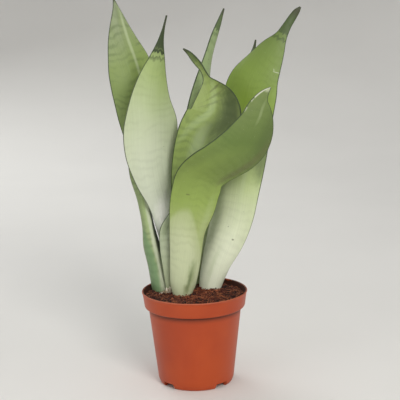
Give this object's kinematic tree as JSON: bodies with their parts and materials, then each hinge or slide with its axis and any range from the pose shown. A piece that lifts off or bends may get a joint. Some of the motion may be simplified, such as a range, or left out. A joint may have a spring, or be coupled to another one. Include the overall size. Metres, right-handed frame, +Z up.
{
  "type": "potted snake plant",
  "caption": "Potted snake plant: broad stiff pointed leaves standing upright from potting mix in a tapered nursery pot with a banded rim and drainage feet.",
  "frame": {"origin": "centre of the pot's flat underside hub, on the plane the pot stands on, on the pot's axis", "axes": "+Z up along the pot's axis, -Y towards the front, +X to the right"},
  "size_m": [0.2191, 0.1379, 0.4342],
  "materials": {
    "pot": "satin",
    "potting_mix": "matte",
    "rhizome": "matte",
    "leaf": "satin"
  },
  "bodies": {
    "root": {"pot": "pot", "potting_mix": "potting_mix", "rhizome": "rhizome", "leaf_back_left": "leaf", "leaf_front_left": "leaf", "leaf_centre": "leaf", "leaf_front": "leaf", "leaf_young": "leaf", "leaf_back_centre": "leaf", "leaf_right": "leaf", "leaf_back_right": "leaf"}
  },
  "joints": []
}
